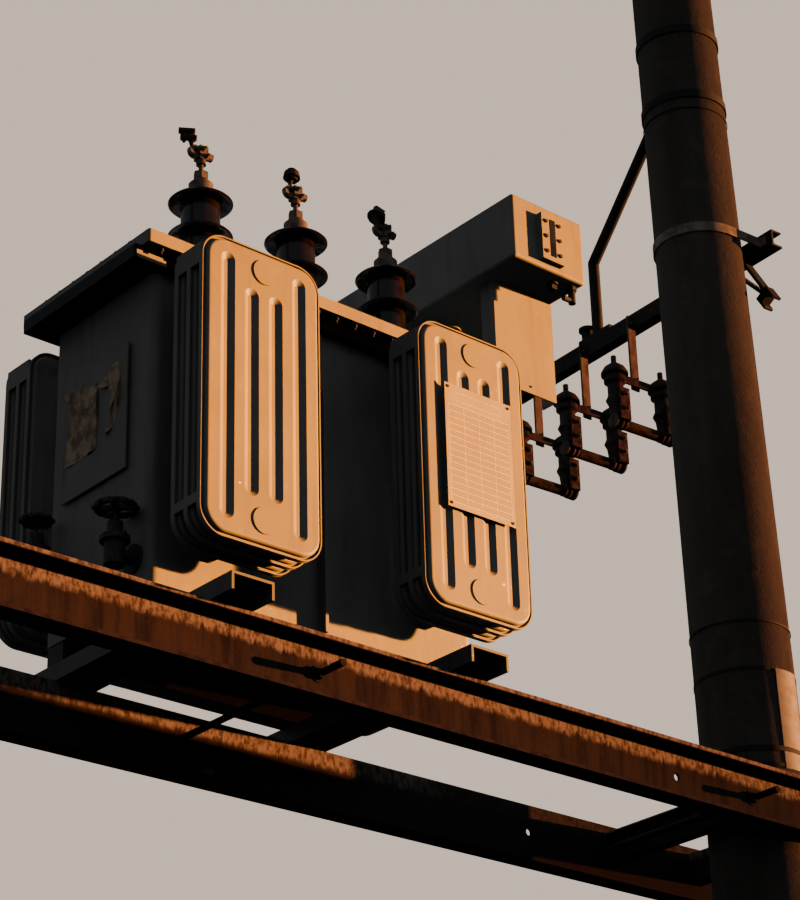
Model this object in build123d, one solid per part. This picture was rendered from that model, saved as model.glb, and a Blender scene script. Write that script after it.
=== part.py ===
from build123d import *
import os
from math import asin, atan, cos, degrees, radians, sin

# Two-pole platform transformer station, in millimetres.
# X runs along the platform beams, Y runs away from the front beam, Z is up.
# The origin is the centre of the right pole's foot, at ground level.

# Poles: tapered spun-concrete poles that lean a little towards each other
pole_spacing = 2920.0
pole_height = 8500.0
pole_foot_diameter = 316.0
pole_top_diameter = 188.0
pole_lean = 0.0225

# Platform beams: rolled steel channels, one on each side of the poles
beam_top = 3640.0
beam_height = 140.0
beam_flange = 60.0
beam_web = 7.0
beam_flange_thickness = 10.0
beam_gap = 498.0
beam_overhang = 430.0
beam_hole_diameter = 18.0
beam_hole_offset = 440.0

# Cross ties on both sides of each pole, between the webs of the beams
tie_height = 80.0
tie_flange = 38.0
tie_wall = 6.0
tie_drop = 20.0

# Threaded rods that clamp the beams together
rod_diameter = 16.0
rod_hole_clearance = 2.0
rod_offset = 183.0
rod_front_reach = 85.0
rod_back_reach = 40.0
rod_middle_shift = -137.0
nut_width = 24.0
nut_height = 13.0
washer_diameter = 36.0
washer_thickness = 3.0

# Base frame: two shallow channels with their flanges down, and two bars across them
skid_width = 108.0
skid_height = 40.0
skid_wall = 6.0
skid_front = -262.0
skid_back = 470.0
skid_left_inset = 2.0
skid_right_inset = 161.0
frame_bar_height = 45.0
frame_bar_width = 60.0
frame_bar_inset = 14.0

# Tank
tank_length = 915.0
tank_depth = 391.0
tank_height = 811.0
tank_wall = 6.0
tank_front = 24.0
tank_corner = 22.0
collar_side_reach = 28.0
collar_left_reach = 74.0
collar_right_reach = 48.0
collar_height = 32.0
rib_thickness = 8.0
rib_reach = 30.0
rib_height = 595.0
rib_foot = 20.0

# Cover
cover_overhang = 57.0
cover_height = 32.0
cover_corner = 6.0

# Radiators: three pressed panels on two headers
header_spacing = 600.0
header_drop = 76.0
header_diameter = 48.0
panel_width = 322.0
panel_height = 718.0
panel_corner = 60.0
panel_seam = 3.0
panel_lip = 3.0
panel_lip_rise = 5.0
panel_recess = 6.0
panel_bulge = 12.0
panel_round = 8.0
panel_pitch = 45.0
panel_count = 3
first_panel_gap = 96.5
radiator_spacing = 614.0
flute_pitch = 65.0
flute_groove = 38.0
flute_depth = 8.0
flute_wall_angle = 60.0
flute_inner_cut = 50.0
pad_diameter = 60.0
pad_rise = 3.0
tie_strip_thickness = 5.0
top_strip_height = 50.0
top_strip_drop = 30.0
bottom_strip_height = 22.0
bottom_strip_rise = 66.0

# Blank rating plate on four studs, in front of the right front radiator
rating_width = 206.0
rating_height = 314.0
rating_sheet = 2.0
rating_shift = 2.5
rating_drop = 179.0
rating_stud_diameter = 9.0
rating_stud_length = 9.0
rating_stud_inset = 18.0

# Plate holder on the tank's left end
end_plate_width = 246.0
end_plate_height = 312.0
end_plate_thickness = 4.0
end_plate_reach = 10.0
end_plate_drop = 175.0
end_plate_shift = 10.5
end_strip_width = 20.0
end_strip_inset = 20.0

# High-voltage bushings
hv_end_margin = 175.5
hv_shift = -7.0
hv_setback = 62.0
hv_flange_diameter = 118.0
hv_flange_height = 12.0
hv_flange_slope = 4.0
hv_body_diameter = 92.0
hv_shed_diameter = 152.0
hv_shed_rims = (109.0, 200.0)
hv_shed_edge = 9.0
hv_shed_dome = 25.0
hv_shed_hollow = 7.0
hv_shed_round = 4.0
hv_neck_height = 9.0
hv_cap_diameter = 58.0
hv_cap_height = 32.0
hv_cap_slope = 8.0
hv_nut_width = 32.0
hv_nut_height = 25.0
hv_stud_diameter = 12.0
hv_stud_height = 22.0
hv_collar_diameter = 24.0
hv_collar_height = 12.0
hv_clamp_width = 24.0
hv_clamp_height = 36.0
hv_clamp_depth = 26.0
hv_eye_diameter = 32.0
hv_eye_bore = 14.0
hv_eye_thickness = 14.0
hv_eye_offset = 20.0
hv_knob_diameter = 20.0
hv_knob_length = 18.0

# Low-voltage bushings, on the row that the photograph hides
lv_count = 4
lv_pitch = 130.0
lv_setback = 320.0
lv_flange_diameter = 70.0
lv_flange_height = 8.0
lv_body_diameter = 44.0
lv_shed_diameter = 68.0
lv_height = 84.0
lv_shed_rim = 38.0
lv_shed_edge = 4.0
lv_shed_dome = 17.0
lv_body_taper = 0.7
lv_stud_diameter = 14.0
lv_stud_height = 50.0

# Conservator and the two folded posts that carry it
conservator_width = 243.0
conservator_height = 180.0
conservator_length = 757.0
conservator_corner = 8.0
conservator_shift = 35.5
post_width = 198.0
post_depth = 48.0
post_height = 240.0
post_sheet = 4.0
post_reach = 1.0
post_drop = 8.0
post_foot_sheet = 6.0
gauge_width = 72.0
gauge_height = 132.0
gauge_depth = 18.0
gauge_place = 0.49
gauge_rise = 16.0
glass_width = 15.0
glass_height = 104.0
glass_recess = 4.0
pipe_diameter = 34.0
pipe_bend = 50.0
pipe_flange_diameter = 64.0
pipe_flange_height = 8.0
pipe_rise = 122.0
pipe_from_end = 100.0
plug_offset = 167.0
plug_setback = 42.0
plug_boss_diameter = 30.0
plug_boss_height = 8.0
plug_head = 17.0
plug_head_height = 12.0
tap_offset = 222.0
tap_setback = 30.0
tap_diameter = 19.0
tap_height = 34.0
tap_nut_width = 24.0
tap_nut_height = 12.0
tap_spout_diameter = 14.0
tap_spout_length = 30.0

# Drain valves on the tank's left end
valve_reach = 50.0
valve_body_diameter = 46.0
valve_body_height = 54.0
valve_neck_diameter = 30.0
valve_flange_diameter = 66.0
valve_flange_height = 12.0
gland_diameter = 34.0
gland_height = 34.0
stem_diameter = 10.0
stem_height = 44.0
valve_base_height = 8.0
wheel_thickness = 12.0
wheel_rim = 11.0
wheel_hub = 26.0
wheel_spoke = 10.0
wheel_notch = 15.0
wheel_notch_count = 8
wheel_edge = 2.0
stem_tip = 4.0
front_wheel_diameter = 96.0
front_valve_drop = 714.0
front_valve_setback = 54.0
back_wheel_diameter = 72.0
back_valve_drop = 631.0
back_valve_setback = 362.0

# Crossarm and the fuse units that hang from it, on the right pole
crossarm_bottom = 5197.0
crossarm_height = 50.0
crossarm_flange = 38.0
crossarm_wall = 6.0
crossarm_near = 165.0
crossarm_far = 950.0
crossarm_turn = 3.4
band_height = 28.0
band_thickness = 4.0
band_lug = 22.0
fuse_places = (411.0, 620.0, 835.0)
hanger_width = 30.0
hanger_sheet = 5.0
hanger_length = 226.0
fuse_base_height = 24.0
fuse_base_sheet = 6.0
fuse_span = 178.0
insulator_diameter = 46.0
insulator_shed = 78.0
insulator_bottom = 130.0
insulator_top = 40.0
insulator_neck = 8.0
insulator_root = 19.0
insulator_swell = 30.0
insulator_rim = 32.0
stud_radius = 8.0
stud_length = 22.0
fuse_tube_diameter = 32.0
fuse_tube_reach = 20.0
fuse_ferrule_diameter = 38.0
fuse_ferrule_length = 22.0
contact_width = 36.0
contact_height = 96.0
contact_sheet = 5.0
contact_shelf = 8.0

# Brace above the crossarm, with its own band on the pole
brace_diameter = 34.0
brace_place = 573.0
brace_rise = 243.0
brace_foot_length = 136.0
brace_foot_width = 36.0
brace_foot_sheet = 14.0
brace_bolt_offset = 46.0
brace_bolt_diameter = 36.0
brace_bolt_height = 30.0
brace_bolt_head = 52.0
brace_bolt_head_height = 9.0
brace_band_bottom = 5645.0
brace_band_height = 24.0
upper_band_bottom = 5866.0

# Open bracket on two flat bars, below the crossarm's near end
bracket_offset = 6.0
bracket_width = 30.0
bracket_bar = 9.0
bracket_near = (45.0, 118.0)
bracket_far = (-6.0, 91.0)
bracket_drop = 105.0
bracket_turn = 30.0
bracket_height = 46.0
bracket_flange = 50.0
bracket_wall = 9.0
bracket_block = 28.0

# Number plate on the right pole
number_width = 78.0
number_height = 262.0
number_sheet = 2.0
number_bottom = 3682.0
number_turn = 5.0

# Clearance between pieces that seat on curved faces
seat_gap = 0.3

# Places worked out from the sizes above
middle_x = -pole_spacing / 2
beam_bottom = beam_top - beam_height
beam_middle = beam_top - beam_height / 2
skid_top = beam_top + skid_height
tank_bottom = skid_top + frame_bar_height
tank_top = tank_bottom + tank_height
tank_left = middle_x - tank_length / 2
tank_right = middle_x + tank_length / 2
tank_back = tank_front + tank_depth
cover_top = tank_top + cover_height
cover_front = tank_front - cover_overhang
cover_back = tank_back + cover_overhang
cover_right = tank_right + cover_overhang
header_top = tank_top - header_drop
panel_middle = header_top - header_spacing / 2
hv_spacing = (tank_length - 2 * hv_end_margin) / 2
hv_axis_y = tank_front + hv_setback


def pole_radius(z):
    taper = (pole_foot_diameter - pole_top_diameter) / 2 / pole_height
    return pole_foot_diameter / 2 - taper * z


def pole_centre(z):
    # x of the right pole's axis; the left pole mirrors it
    return -pole_lean * z


front_web = -(pole_radius(beam_bottom) + seat_gap)
back_web = front_web + beam_gap


def middle_y():
    return (tank_front + tank_back) / 2


def panel_half():
    return panel_seam / 2 + panel_bulge


def box(x0, x1, y0, y1, z0, z1):
    size = (x1 - x0, y1 - y0, z1 - z0)
    return Pos(x0, y0, z0) * Box(*size, align=(Align.MIN, Align.MIN, Align.MIN))


def rod(start, direction, radius, length):
    plane = Plane(origin=start, z_dir=direction)
    return extrude(plane * Circle(radius), amount=length)


def hex_prism(start, direction, width, length):
    plane = Plane(origin=start, z_dir=direction)
    return extrude(plane * RegularPolygon(width / 2, 6, major_radius=False), amount=length)


def mirrored(shape):
    return shape.mirror(Plane.YZ.offset(middle_x))


def group(*shapes):
    return Compound(children=[piece for shape in shapes for piece in shape.solids()])


def channel_section(height, flange, web, flange_thickness):
    # web on the plane u = 0, flanges towards +u, standing on v = 0
    outline = Polyline(
        (0, 0), (flange, 0), (flange, flange_thickness), (web, flange_thickness),
        (web, height - flange_thickness), (flange, height - flange_thickness),
        (flange, height), (0, height), close=True)
    section = make_face(outline)
    inner = section.vertices().filter_by_position(Axis.X, web - 0.1, web + 0.1)
    section = fillet(inner, radius=0.8 * web)
    tips = section.vertices().filter_by_position(Axis.X, flange - 0.1, flange + 0.1)
    tips = [tip for tip in tips if flange_thickness - 1 < tip.Y < height - flange_thickness + 1]
    return fillet(tips, radius=0.4 * flange_thickness)


def right_pole():
    foot = Circle(pole_foot_diameter / 2)
    top = Pos(pole_centre(pole_height), 0, pole_height) * Circle(pole_top_diameter / 2)
    return loft([foot, top])


def beam_left_end():
    return 2 * middle_x - beam_right_end()


def beam_right_end():
    return pole_centre(beam_middle) + beam_overhang


def rod_places():
    right = pole_centre(beam_middle)
    left = 2 * middle_x - right
    return [left - rod_offset, left + rod_offset, middle_x + rod_middle_shift,
            right - rod_offset, right + rod_offset]


def beam(web_face, facing):
    section = channel_section(beam_height, beam_flange, beam_web, beam_flange_thickness)
    plane = Plane(origin=(beam_left_end(), web_face, beam_bottom), x_dir=(0, facing, 0),
                  z_dir=(facing, 0, 0))
    length = beam_right_end() - beam_left_end()
    shape = extrude(plane * section, amount=facing * length)
    hole_radius = rod_diameter / 2 + rod_hole_clearance / 2
    for x in rod_places():
        shape = shape - rod((x, web_face - facing, beam_middle), (0, facing, 0), hole_radius,
                            beam_web + 2)
    right = pole_centre(beam_middle) - beam_hole_offset
    for x in (right, 2 * middle_x - right):
        shape = shape - rod((x, web_face - facing, beam_middle), (0, facing, 0),
                            beam_hole_diameter / 2, beam_web + 2)
    return shape


def tie_rod(x):
    start = front_web - beam_web - rod_front_reach
    end = back_web + beam_web + rod_back_reach
    shape = rod((x, start, beam_middle), (0, 1, 0), rod_diameter / 2, end - start)
    front_face = front_web - beam_web
    back_face = back_web + beam_web
    shape = shape + rod((x, front_face, beam_middle), (0, -1, 0), washer_diameter / 2,
                        washer_thickness)
    shape = shape + hex_prism((x, front_face - washer_thickness, beam_middle), (0, -1, 0),
                              nut_width, nut_height)
    shape = shape + rod((x, back_face, beam_middle), (0, 1, 0), washer_diameter / 2,
                        washer_thickness)
    return shape + hex_prism((x, back_face + washer_thickness, beam_middle), (0, 1, 0),
                             nut_width, nut_height)


def cross_tie(side):
    # side -1 stands against the pole's left face, +1 against its right face
    top = beam_top - tie_drop
    bottom = top - tie_height
    nearest = pole_centre(top) if side < 0 else pole_centre(bottom)
    face = nearest + side * (pole_radius(bottom) + seat_gap)
    section = channel_section(tie_height, tie_flange, tie_wall, tie_wall)
    plane = Plane(origin=(face, front_web, bottom), x_dir=(side, 0, 0), z_dir=(0, -side, 0))
    return extrude(plane * section, amount=-side * beam_gap)


def skid(left):
    outer = box(left, left + skid_width, skid_front, skid_back, beam_top, skid_top)
    inner = box(left + skid_wall, left + skid_width - skid_wall, skid_front - 1, skid_back + 1,
                beam_top - 1, skid_top - skid_wall)
    return outer - inner


def left_skid_side():
    return tank_left + skid_left_inset


def right_skid_side():
    return tank_right - skid_right_inset


def frame_bars():
    # two bars on top of the skids, below the front and the back of the tank
    bars = []
    for front in (tank_front + frame_bar_inset, tank_back - frame_bar_inset - frame_bar_width):
        bars.append(box(left_skid_side(), right_skid_side(), front, front + frame_bar_width,
                        skid_top, tank_bottom))
    return group(*bars)


def tank():
    # open-topped shell: the cover closes it
    body = box(tank_left, tank_right, tank_front, tank_back, tank_bottom, tank_top)
    body = fillet(body.edges().filter_by(Axis.Z), radius=tank_corner)
    collar = box(tank_left - collar_left_reach, tank_right + collar_right_reach,
                 tank_front - collar_side_reach, tank_back + collar_side_reach,
                 tank_top - collar_height, tank_top)
    collar = fillet(collar.edges().filter_by(Axis.Z), radius=cover_corner)
    shape = body + collar
    inside = box(tank_left + tank_wall, tank_right - tank_wall, tank_front + tank_wall,
                 tank_back - tank_wall, tank_bottom + tank_wall, tank_top + 1)
    shape = shape - fillet(inside.edges().filter_by(Axis.Z), radius=tank_corner - tank_wall)
    rib_bottom = tank_bottom + rib_foot
    for y0, y1 in ((tank_front - rib_reach, tank_front + 1), (tank_back - 1, tank_back + rib_reach)):
        shape = shape + box(middle_x - rib_thickness / 2, middle_x + rib_thickness / 2, y0, y1,
                            rib_bottom, rib_bottom + rib_height)
    return shape


def cover():
    left = tank_left - cover_overhang
    block = box(left, cover_right, cover_front, cover_back, tank_top, cover_top)
    block = fillet(block.edges().filter_by(Axis.Z), radius=cover_corner)
    return block


def panel_outline(inset):
    return RectangleRounded(panel_width - 2 * inset, panel_height - 2 * inset,
                            panel_corner - inset)


def groove(x, length):
    return Pos(x, 0) * SlotOverall(length, flute_groove, rotation=90)


def pressed_panel():
    # stands in the XZ plane, centred on the origin, thickness along Y
    seam = extrude(panel_outline(0), amount=panel_seam / 2, both=True)
    rim = extrude(panel_outline(0) - panel_outline(panel_lip),
                  amount=panel_seam / 2 + panel_lip_rise, both=True)
    body = extrude(panel_outline(panel_lip + panel_recess), amount=panel_half(), both=True)
    body = fillet(body.faces().filter_by(Axis.Z).edges(), radius=panel_round)
    shape = seam + rim + body
    outer_length = header_spacing + flute_groove
    inner_length = header_spacing - 2 * flute_inner_cut
    places = [(-1.5 * flute_pitch, outer_length), (-0.5 * flute_pitch, inner_length),
              (0.5 * flute_pitch, inner_length), (1.5 * flute_pitch, outer_length)]
    for side in (-1, 1):
        for x, length in places:
            plane = Plane(origin=(0, 0, side * panel_half()), x_dir=(1, 0, 0),
                          z_dir=(0, 0, -side))
            shape = shape - extrude(plane * groove(x, length), amount=flute_depth,
                                    taper=flute_wall_angle)
    return Rot(90, 0, 0) * shape


def radiator(x, wall, outward):
    # outward is -1 for the front wall and +1 for the back wall
    shape = None
    panel = pressed_panel()
    for index in range(panel_count):
        y = wall + outward * (first_panel_gap + index * panel_pitch)
        placed = Pos(x, y, panel_middle) * panel
        shape = placed if shape is None else shape + placed
    last = first_panel_gap + (panel_count - 1) * panel_pitch
    for z in (header_top, header_top - header_spacing):
        header = rod((x, wall, z), (0, outward, 0), header_diameter / 2, last)
        pad = rod((x, wall + outward * (last + panel_half() - pad_rise), z), (0, outward, 0),
                  pad_diameter / 2, 2 * pad_rise)
        pad = chamfer(pad.edges().filter_by(GeomType.CIRCLE).group_by(Axis.Y)[outward],
                      length=0.8 * pad_rise)
        shape = shape + header + pad
    panel_top = panel_middle + panel_height / 2
    panel_bottom = panel_middle - panel_height / 2
    strips = ((panel_top - top_strip_drop - top_strip_height, top_strip_height),
              (panel_bottom + bottom_strip_rise, bottom_strip_height))
    for side in (-1, 1):
        edge = x + side * panel_width / 2
        for bottom, height in strips:
            shape = shape + box(min(edge, edge - side * tie_strip_thickness),
                                max(edge, edge - side * tie_strip_thickness),
                                wall + min(outward * first_panel_gap, outward * last),
                                wall + max(outward * first_panel_gap, outward * last),
                                bottom, bottom + height)
    return shape


def rating_plate():
    centre = middle_x + radiator_spacing / 2 + rating_shift
    panel_face = tank_front - first_panel_gap - (panel_count - 1) * panel_pitch - panel_half()
    back = panel_face - rating_stud_length
    top = tank_top - rating_drop
    left = centre - rating_width / 2
    shape = box(left, left + rating_width, back - rating_sheet, back, top - rating_height, top)
    for side in (-1, 1):
        for z in (top - rating_stud_inset, top - rating_height + rating_stud_inset):
            shape = shape + rod((centre - rating_shift + side * flute_pitch, back, z), (0, 1, 0),
                                rating_stud_diameter / 2, rating_stud_length)
    return shape


def end_plate():
    top = tank_top - end_plate_drop
    face = tank_left - end_plate_reach
    y0 = middle_y() + end_plate_shift - end_plate_width / 2
    plate = box(face, face + end_plate_thickness, y0, y0 + end_plate_width,
                top - end_plate_height, top)
    last_strip = end_plate_width - end_strip_inset - end_strip_width
    for y in (y0 + end_strip_inset, y0 + last_strip):
        plate = plate + box(face, tank_left, y, y + end_strip_width,
                            top - end_plate_height + end_strip_inset, top - end_strip_inset)
    return plate


def turned(points):
    return revolve(make_face(Plane.XZ * Polyline(*points, close=True)), Axis.Z)


def hv_neck_top():
    return hv_shed_rims[-1] + hv_shed_dome + hv_neck_height


def hv_bushing(x):
    body = hv_body_diameter / 2
    shed = hv_shed_diameter / 2
    points = [(0, 0), (hv_flange_diameter / 2, 0), (hv_flange_diameter / 2, hv_flange_height),
              (body, hv_flange_height + hv_flange_slope)]
    for rim in hv_shed_rims:
        points += [(body, rim + hv_shed_hollow), (shed - 2 * hv_shed_round, rim),
                   (shed - hv_shed_round, rim), (shed, rim + hv_shed_round),
                   (shed, rim + hv_shed_edge - hv_shed_round), (shed - hv_shed_round, rim + hv_shed_edge),
                   (body + 2 * hv_shed_round, rim + hv_shed_dome - hv_shed_round),
                   (body, rim + hv_shed_dome)]
    points += [(hv_cap_diameter / 2, hv_neck_top()), (0, hv_neck_top())]
    return Pos(x, hv_axis_y, cover_top) * turned(points)


def hv_terminal(x):
    y = hv_axis_y
    bottom = cover_top + hv_neck_top()
    cap_top = bottom + hv_cap_height
    nut_top = cap_top + hv_nut_height
    stud_top = nut_top + hv_stud_height
    clamp_bottom = stud_top + hv_collar_height
    eye_z = clamp_bottom + hv_clamp_height / 2
    cap = rod((x, y, bottom), (0, 0, 1), hv_cap_diameter / 2, hv_cap_height)
    shape = chamfer(cap.edges().group_by(Axis.Z)[-1], length=hv_cap_slope)
    shape = shape + hex_prism((x, y, cap_top), (0, 0, 1), hv_nut_width, hv_nut_height)
    shape = shape + rod((x, y, nut_top), (0, 0, 1), hv_stud_diameter / 2, hv_stud_height)
    shape = shape + rod((x, y, stud_top), (0, 0, 1), hv_collar_diameter / 2, hv_collar_height)
    shape = shape + box(x - hv_clamp_width / 2, x + hv_clamp_width / 2, y - hv_clamp_depth / 2,
                        y + hv_clamp_depth / 2, clamp_bottom, clamp_bottom + hv_clamp_height)
    eye_x = x - hv_eye_offset
    shape = shape + rod((eye_x, y - hv_eye_thickness / 2, eye_z), (0, 1, 0), hv_eye_diameter / 2,
                        hv_eye_thickness)
    shape = shape - rod((eye_x, y - hv_clamp_depth, eye_z), (0, 1, 0), hv_eye_bore / 2,
                        2 * hv_clamp_depth)
    return shape + rod((x + hv_clamp_width / 2, y, eye_z), (1, 0, 0), hv_knob_diameter / 2,
                       hv_knob_length)


def lv_bushing(index):
    x = middle_x + (index - (lv_count - 1) / 2) * lv_pitch
    body = lv_body_diameter / 2
    shed = lv_shed_diameter / 2
    stud = lv_stud_diameter / 2
    points = [(0, 0), (lv_flange_diameter / 2, 0), (lv_flange_diameter / 2, lv_flange_height),
              (body, lv_flange_height), (body, lv_shed_rim), (shed, lv_shed_rim),
              (shed, lv_shed_rim + lv_shed_edge), (body, lv_shed_rim + lv_shed_dome),
              (lv_body_taper * body, lv_height), (stud, lv_height),
              (stud, lv_height + lv_stud_height), (0, lv_height + lv_stud_height)]
    return Pos(x, tank_front + lv_setback, cover_top) * turned(points)


def conservator_left():
    return cover_right - conservator_shift


def conservator_front():
    return middle_y() - conservator_length / 2


def conservator():
    left = conservator_left()
    front = conservator_front()
    bottom = cover_top + post_height
    shape = box(left, left + conservator_width, front, front + conservator_length, bottom,
                bottom + conservator_height)
    return fillet(shape.edges(), radius=conservator_corner)


def front_post():
    # folded channel with its open side to the back, and a foot beside the cover
    left = cover_right + conservator_shift / 4
    right = left + post_width
    front = cover_front - post_reach
    top = cover_top + post_height
    bottom = tank_top - post_drop
    outer = box(left, right, front, front + post_depth, bottom, top)
    inner = box(left + post_sheet, right - post_sheet, front + post_sheet,
                front + post_depth + 1, bottom - 1, top - post_sheet)
    foot = box(cover_right, left + post_sheet, front + post_sheet,
               front + post_sheet + post_foot_sheet, tank_top, cover_top)
    return outer - inner + foot


def oil_gauge():
    front = conservator_front()
    centre = conservator_left() + gauge_place * conservator_width
    bottom = cover_top + post_height + gauge_rise
    shape = box(centre - gauge_width / 2, centre + gauge_width / 2, front - gauge_depth, front,
                bottom, bottom + gauge_height)
    glass_bottom = bottom + (gauge_height - glass_height) / 2
    strip = box(centre - glass_width / 2, centre + glass_width / 2, front - gauge_depth - 1,
                front - gauge_depth + glass_recess, glass_bottom, glass_bottom + glass_height)
    return shape - strip


def conservator_pipe():
    y = middle_y()
    x0 = tank_right - pipe_from_end / 2
    x1 = conservator_left() + conservator_width / 2
    top = cover_top + post_height
    path = FilletPolyline((x0, y, cover_top), (x0, y, cover_top + pipe_rise),
                          (x1, y, cover_top + pipe_rise), (x1, y, top), radius=pipe_bend)
    shape = sweep(Plane(origin=(x0, y, cover_top)) * Circle(pipe_diameter / 2), path=path)
    shape = shape + rod((x0, y, cover_top), (0, 0, 1), pipe_flange_diameter / 2,
                        pipe_flange_height)
    return shape + rod((x1, y, top), (0, 0, -1), pipe_flange_diameter / 2, pipe_flange_height)


def conservator_plug():
    x = conservator_left() + plug_offset
    y = conservator_front() + plug_setback
    top = cover_top + post_height
    boss = rod((x, y, top), (0, 0, -1), plug_boss_diameter / 2, plug_boss_height)
    head_top = top - plug_boss_height
    return boss + box(x - plug_head / 2, x + plug_head / 2, y - plug_head / 2, y + plug_head / 2,
                      head_top - plug_head_height, head_top)


def conservator_tap():
    x = conservator_left() + tap_offset
    y = conservator_front() + tap_setback
    top = cover_top + post_height
    shape = hex_prism((x, y, top), (0, 0, -1), tap_nut_width, tap_nut_height)
    shape = shape + rod((x, y, top - tap_nut_height), (0, 0, -1), tap_diameter / 2, tap_height)
    spout = top - tap_nut_height - tap_height + tap_spout_diameter / 2
    return shape + rod((x, y, spout), (-1, 0, 0), tap_spout_diameter / 2, tap_spout_length)


def valve_axis(drop, setback):
    return tank_left - valve_reach, tank_front + setback, tank_top - drop


def drain_valve(drop, setback):
    x, y, z = valve_axis(drop, setback)
    half = valve_body_height / 2
    shape = rod((x, y, z - half), (0, 0, 1), valve_body_diameter / 2, valve_body_height)
    shape = shape + rod((x, y, z), (1, 0, 0), valve_neck_diameter / 2, valve_reach)
    shape = shape + rod((tank_left, y, z), (-1, 0, 0), valve_flange_diameter / 2,
                        valve_base_height)
    shape = shape + rod((x, y, z + half), (0, 0, 1), valve_flange_diameter / 2,
                        valve_flange_height)
    gland = z + half + valve_flange_height
    shape = shape + rod((x, y, gland), (0, 0, 1), gland_diameter / 2, gland_height)
    return shape + rod((x, y, gland + gland_height), (0, 0, 1), stem_diameter / 2, stem_height)


def hand_wheel(diameter, drop, setback):
    # cast wheel with a notched rim and four spokes
    x, y, z = valve_axis(drop, setback)
    stem_top = (z + valve_body_height / 2 + valve_flange_height + gland_height + stem_height)
    radius = diameter / 2
    notches = PolarLocations(radius + wheel_notch / 4, wheel_notch_count) * Circle(wheel_notch / 2)
    section = Circle(radius) - notches - Circle(radius - wheel_rim)
    for angle in (45, 135):
        section = section + Rot(0, 0, angle) * Rectangle(diameter - wheel_rim, wheel_spoke)
    section = section + Circle(wheel_hub / 2) - Circle(stem_diameter / 2 + seat_gap)
    wheel = extrude(section, amount=wheel_thickness)
    outer = wheel.edges().filter_by(GeomType.CIRCLE).group_by(SortBy.RADIUS)[-1]
    wheel = chamfer(outer, length=wheel_edge)
    return Pos(x, y, stem_top - stem_tip - wheel_thickness) * wheel


def on_arm(shape):
    # places a shape drawn about the pole's axis at crossarm height
    return Pos(pole_centre(crossarm_bottom), 0, 0) * Rot(0, 0, -crossarm_turn) * shape


def arm_face():
    return pole_radius(crossarm_bottom) + pole_lean * crossarm_height + seat_gap


def crossarm():
    section = channel_section(crossarm_height, crossarm_flange, crossarm_wall, crossarm_wall)
    plane = Plane(origin=(arm_face(), -crossarm_near, crossarm_bottom), x_dir=(1, 0, 0),
                  z_dir=(0, -1, 0))
    return on_arm(extrude(plane * section, amount=-(crossarm_near + crossarm_far)))


def crossarm_band():
    # strap round the far side of the pole, with both ends on the crossarm's web
    inner = arm_face()
    outer = inner + band_thickness
    ring = Circle(outer) - Circle(inner)
    ring = ring - Pos(outer, 0) * Rectangle(2 * outer, 3 * outer)
    section = ring
    for side in (-1, 1):
        leg = Pos(arm_face() / 2, side * (inner + band_thickness / 2)) * Rectangle(
            arm_face(), band_thickness)
        lug = Pos(arm_face() - band_thickness / 2, side * (inner + band_lug / 2)) * Rectangle(
            band_thickness, band_lug)
        section = section + leg + lug
    bottom = crossarm_bottom + (crossarm_height - band_height) / 2
    return on_arm(extrude(Pos(0, 0, bottom) * section, amount=band_height))


def fuse_hanger(place):
    face = arm_face()
    bottom = crossarm_bottom + 0.5 * crossarm_height - hanger_length
    strap = box(face - hanger_sheet, face, place - hanger_width / 2, place + hanger_width / 2,
                bottom, crossarm_bottom + 0.8 * crossarm_height)
    return on_arm(strap)


def fuse_axis():
    # height of the bar that joins the two insulators of one fuse unit
    return crossarm_bottom + 0.5 * crossarm_height - hanger_length + fuse_base_height / 2


def fuse_middle():
    return arm_face() - hanger_sheet - fuse_base_sheet / 2


def fuse_base(place):
    # bar and two insulators: this is the fixed half of one fuse unit
    middle = fuse_middle()
    z = fuse_axis()
    y = place - hanger_width / 2 - fuse_base_sheet
    shape = box(middle - fuse_span / 2, middle + fuse_span / 2, y, y + fuse_base_sheet,
                z - fuse_base_height / 2, z + fuse_base_height / 2)
    body = insulator_diameter / 2
    shed = insulator_shed / 2
    waist = (insulator_bottom + insulator_swell) / 2
    points = [(0, -insulator_bottom), (insulator_root, -insulator_bottom),
              (body, -waist - insulator_swell / 2), (insulator_swell, -waist),
              (body, -waist + insulator_swell / 2), (body, -insulator_swell),
              (insulator_rim, -insulator_swell + insulator_neck),
              (insulator_rim, -insulator_neck), (body, -insulator_neck / 2), (body, 0), (shed, 0),
              (shed, insulator_neck), (insulator_swell, insulator_rim - insulator_neck),
              (insulator_root / 2, insulator_top), (stud_radius, insulator_top),
              (stud_radius, insulator_top + stud_length), (0, insulator_top + stud_length)]
    for side in (-1, 1):
        shape = shape + Pos(middle + side * fuse_span / 2, y + fuse_base_sheet / 2,
                            z) * turned(points)
    return on_arm(shape)


def fuse_link(place):
    # fuse tube between the lower ends of the insulators, with its two contacts
    middle = fuse_middle()
    z = fuse_axis() - insulator_bottom - fuse_ferrule_diameter / 2 - seat_gap
    y = place - hanger_width / 2 - fuse_base_sheet / 2
    half = fuse_span / 2
    reach = half + fuse_tube_reach
    shape = rod((middle - reach, y, z), (1, 0, 0), fuse_tube_diameter / 2, 2 * reach)
    front = y - insulator_rim - seat_gap - contact_sheet
    for side in (-1, 1):
        shape = shape + rod((middle + side * reach, y, z), (-side, 0, 0),
                            fuse_ferrule_diameter / 2, fuse_ferrule_length)
        x = middle + side * half
        shape = shape + box(x - contact_width / 2, x + contact_width / 2, front,
                            front + contact_sheet, z, z + contact_height)
        shape = shape + box(x - contact_width / 2, x + contact_width / 2, front, y,
                            z - contact_shelf / 2, z + contact_shelf / 2)
    return on_arm(shape)


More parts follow.
